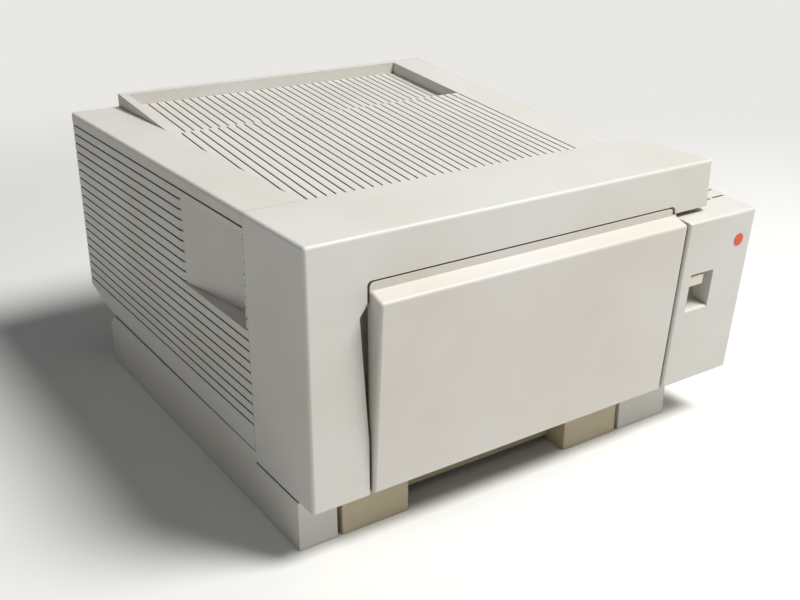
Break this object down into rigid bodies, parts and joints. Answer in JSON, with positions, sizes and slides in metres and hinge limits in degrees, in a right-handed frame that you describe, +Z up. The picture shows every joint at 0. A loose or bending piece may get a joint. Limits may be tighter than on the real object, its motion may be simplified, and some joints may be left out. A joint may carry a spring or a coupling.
{
  "type": "laser printer",
  "caption": "Desktop laser printer with a sloping ridged top and sheet tray, ribbed left side, leaning front door for paper, control box on the right, and an upper unit hinged at the rear.",
  "frame": {"origin": "middle of the footprint, on the surface the printer stands on", "axes": "+X to the right seen from the front, +Y from the front to the rear, +Z up"},
  "size_m": [0.381, 0.4223, 0.2285],
  "materials": {
    "case_plastic": "fine moulded texture, light platinum grey",
    "door_plastic": "fine moulded texture, slightly warmer",
    "aged_plastic": "fine moulded texture, yellowed",
    "cream_plastic": "satin",
    "grey_plastic": "fine moulded texture",
    "black_plastic": "fine moulded texture",
    "window_plastic": "gloss",
    "red_plastic": "gloss",
    "gear_plastic": "natural acetal",
    "zinc_steel": "zinc plated sheet",
    "bright_steel": "ground and polished",
    "motor_steel": "satin",
    "foot_rubber": "matte",
    "roller_rubber": "matte",
    "silicone_rubber": "satin",
    "foam_rubber": "open cell foam",
    "cork_rubber": "matte",
    "drum_coating": "smooth organic photoconductor",
    "nonstick_coating": "smooth fluoropolymer coat",
    "quartz_glass": "clear",
    "lens_glass": "clear",
    "mirror_face": "diamond turned",
    "board_laminate": "solder mask over glass cloth"
  },
  "bodies": {
    "base": {"right_housing": "case_plastic", "indicator_lens": "red_plastic", "status_windows": "window_plastic", "base_housing": "case_plastic", "chassis_pan": "aged_plastic", "rubber_feet": "foot_rubber", "side_frame_left": "zinc_steel", "side_frame_right": "zinc_steel", "roller_bushes": "gear_plastic", "frame_stays": "bright_steel", "paper_turn_guide": "black_plastic", "transport_guide": "zinc_steel", "separation_pad": "cork_rubber", "fuser_lamp": "quartz_glass", "fuser_frame": "black_plastic", "cartridge_body": "black_plastic", "toner_hopper": "black_plastic", "main_motor": "motor_steel", "power_supply_board": "board_laminate", "controller_board": "board_laminate", "power_inlet": "black_plastic", "port_connectors": "grey_plastic", "fan_frame": "black_plastic"},
    "upper_unit": {"front_fascia": "case_plastic", "left_side_cover": "case_plastic", "top_cover": "case_plastic", "rear_cover": "case_plastic", "cover_screws": "bright_steel", "upper_frame": "zinc_steel", "upper_hinge_pins": "bright_steel", "exit_guide": "black_plastic", "scanner_housing": "black_plastic", "scan_lens": "lens_glass"},
    "front_door": {"tray_door": "door_plastic", "tray_plate": "grey_plastic", "door_hinge_pins": "bright_steel"},
    "left_guide": {"paper_guide_left": "grey_plastic"},
    "right_guide": {"paper_guide_right": "grey_plastic"},
    "latch_tab": {"release_latch": "cream_plastic"},
    "lifter": {"lift_plate": "zinc_steel"},
    "rocker": {"power_rocker": "black_plastic"},
    "cooling_rotor": {"fan_rotor": "black_plastic"},
    "scan_mirror": {"polygon_mirror": "mirror_face"},
    "drum_body": {"photosensitive_drum": "drum_coating"},
    "main_wheel": {"main_gear": "gear_plastic"},
    "motor_shaft": {"motor_pinion": "bright_steel"},
    "pickup_body": {"pickup_roller": "roller_rubber", "pickup_shaft": "bright_steel"},
    "drum_idler_body": {"drum_idler_gear": "gear_plastic"},
    "transfer_body": {"transfer_roller": "foam_rubber"},
    "registration_idler_body": {"registration_idler_gear": "gear_plastic"},
    "registration_body": {"registration_roller": "roller_rubber"},
    "fuser_idler_body": {"fuser_idler_gear": "gear_plastic"},
    "hot_body": {"hot_roller": "nonstick_coating", "hot_roller_gear": "gear_plastic"},
    "pressure_body": {"pressure_roller": "silicone_rubber"},
    "exit_idler_body": {"exit_idler_gear": "gear_plastic"},
    "exit_body": {"exit_roller": "roller_rubber"},
    "exit_pinch_body": {"exit_pinch_rollers": "grey_plastic"},
    "developer_body": {"developer_roller": "bright_steel"}
  },
  "joints": [
    {"name": "upper_unit_hinge", "type": "hinge", "parent": "base", "child": "upper_unit", "pos_m": [-0.0105, 0.1512, 0.048], "axis": [-1, 0, 0], "range_deg": [0, 38]},
    {"name": "front_door_hinge", "type": "hinge", "parent": "base", "child": "front_door", "pos_m": [-0.0105, -0.1943, 0.047], "axis": [1, 0, 0], "range_deg": [0, 88]},
    {"name": "left_guide_slide", "type": "slide", "parent": "front_door", "child": "left_guide", "axis": [1, 0, 0], "range_m": [0, 0.05]},
    {"name": "right_guide_slide", "type": "slide", "parent": "front_door", "child": "right_guide", "axis": [1, 0, 0], "range_m": [-0.05, 0]},
    {"name": "latch_slide", "type": "slide", "parent": "base", "child": "latch_tab", "axis": [1, 0, 0], "range_m": [0, 0.0085], "stiffness_N_per_m": 120},
    {"name": "lift_plate_hinge", "type": "hinge", "parent": "base", "child": "lifter", "pos_m": [-0.0105, -0.1688, 0.047], "axis": [1, 0, 0], "range_deg": [0, 6]},
    {"name": "power_rocker_hinge", "type": "hinge", "parent": "base", "child": "rocker", "pos_m": [-0.0855, 0.1602, 0.027], "axis": [1, 0, 0], "range_deg": [0, 12]},
    {"name": "fan_spin", "type": "hinge", "parent": "base", "child": "cooling_rotor", "pos_m": [-0.1625, 0.0862, 0.09], "axis": [1, 0, 0], "continuous": true},
    {"name": "mirror_spin", "type": "hinge", "parent": "upper_unit", "child": "scan_mirror", "pos_m": [-0.0105, 0.1192, 0.19], "axis": [0, 0, 1], "continuous": true},
    {"name": "drum_spin", "type": "hinge", "parent": "base", "child": "drum_body", "pos_m": [0.1285, 0.00617, 0.13252], "axis": [1, 0, 0], "continuous": true},
    {"name": "main_gear_spin", "type": "hinge", "parent": "base", "child": "main_wheel", "pos_m": [0.1285, -0.0618, 0.112], "axis": [1, 0, 0], "continuous": true},
    {"name": "motor_spin", "type": "hinge", "parent": "base", "child": "motor_shaft", "pos_m": [0.1285, -0.03634, 0.08654], "axis": [1, 0, 0], "continuous": true},
    {"name": "pickup_spin", "type": "hinge", "parent": "base", "child": "pickup_body", "pos_m": [0.1285, -0.09098, 0.08179], "axis": [1, 0, 0], "continuous": true},
    {"name": "drum_idler_spin", "type": "hinge", "parent": "base", "child": "drum_idler_body", "pos_m": [0.1285, -0.02111, 0.12428], "axis": [1, 0, 0], "continuous": true},
    {"name": "transfer_spin", "type": "hinge", "parent": "base", "child": "transfer_body", "pos_m": [0.1285, 0.00617, 0.10802], "axis": [1, 0, 0], "continuous": true},
    {"name": "registration_idler_spin", "type": "hinge", "parent": "base", "child": "registration_idler_body", "pos_m": [0.1285, 0.03462, 0.12474], "axis": [1, 0, 0], "continuous": true},
    {"name": "registration_spin", "type": "hinge", "parent": "base", "child": "registration_body", "pos_m": [0.1285, 0.05922, 0.11801], "axis": [1, 0, 0], "continuous": true},
    {"name": "fuser_idler_spin", "type": "hinge", "parent": "base", "child": "fuser_idler_body", "pos_m": [0.1285, -0.10239, 0.12898], "axis": [1, 0, 0], "continuous": true},
    {"name": "hot_roller_spin", "type": "hinge", "parent": "base", "child": "hot_body", "pos_m": [0.1285, -0.12822, 0.13978], "axis": [1, 0, 0], "continuous": true},
    {"name": "pressure_roller_spin", "type": "hinge", "parent": "base", "child": "pressure_body", "pos_m": [-0.0105, -0.12822, 0.11439], "axis": [1, 0, 0], "continuous": true},
    {"name": "exit_idler_spin", "type": "hinge", "parent": "base", "child": "exit_idler_body", "pos_m": [0.1285, -0.13276, 0.16843], "axis": [1, 0, 0], "continuous": true},
    {"name": "exit_roller_spin", "type": "hinge", "parent": "upper_unit", "child": "exit_body", "pos_m": [0.1285, -0.13667, 0.19312], "axis": [1, 0, 0], "continuous": true},
    {"name": "exit_pinch_spin", "type": "hinge", "parent": "upper_unit", "child": "exit_pinch_body", "pos_m": [-0.0105, -0.13667, 0.20652], "axis": [1, 0, 0], "continuous": true},
    {"name": "developer_spin", "type": "hinge", "parent": "base", "child": "developer_body", "pos_m": [-0.0105, 0.0278, 0.13595], "axis": [1, 0, 0], "continuous": true}
  ],
  "couplings": [
    {"joint": "right_guide_slide", "follows": "left_guide_slide", "ratio": -1},
    {"joint": "main_gear_spin", "follows": "drum_spin", "ratio": 0.53333},
    {"joint": "motor_spin", "follows": "drum_spin", "ratio": -2.6667},
    {"joint": "pickup_spin", "follows": "drum_spin", "ratio": -1.3333},
    {"joint": "drum_idler_spin", "follows": "drum_spin", "ratio": -1.28},
    {"joint": "transfer_spin", "follows": "drum_spin", "ratio": -1.8824},
    {"joint": "registration_idler_spin", "follows": "drum_spin", "ratio": -1.1852},
    {"joint": "registration_spin", "follows": "drum_spin", "ratio": 1.3333},
    {"joint": "fuser_idler_spin", "follows": "drum_spin", "ratio": -1.1429},
    {"joint": "hot_roller_spin", "follows": "drum_spin", "ratio": 1.1429},
    {"joint": "pressure_roller_spin", "follows": "drum_spin", "ratio": -1.2381},
    {"joint": "exit_idler_spin", "follows": "drum_spin", "ratio": -1.0667},
    {"joint": "exit_roller_spin", "follows": "drum_spin", "ratio": 1.6},
    {"joint": "exit_pinch_spin", "follows": "drum_spin", "ratio": -2.56},
    {"joint": "developer_spin", "follows": "drum_spin", "ratio": -2.3077}
  ]
}
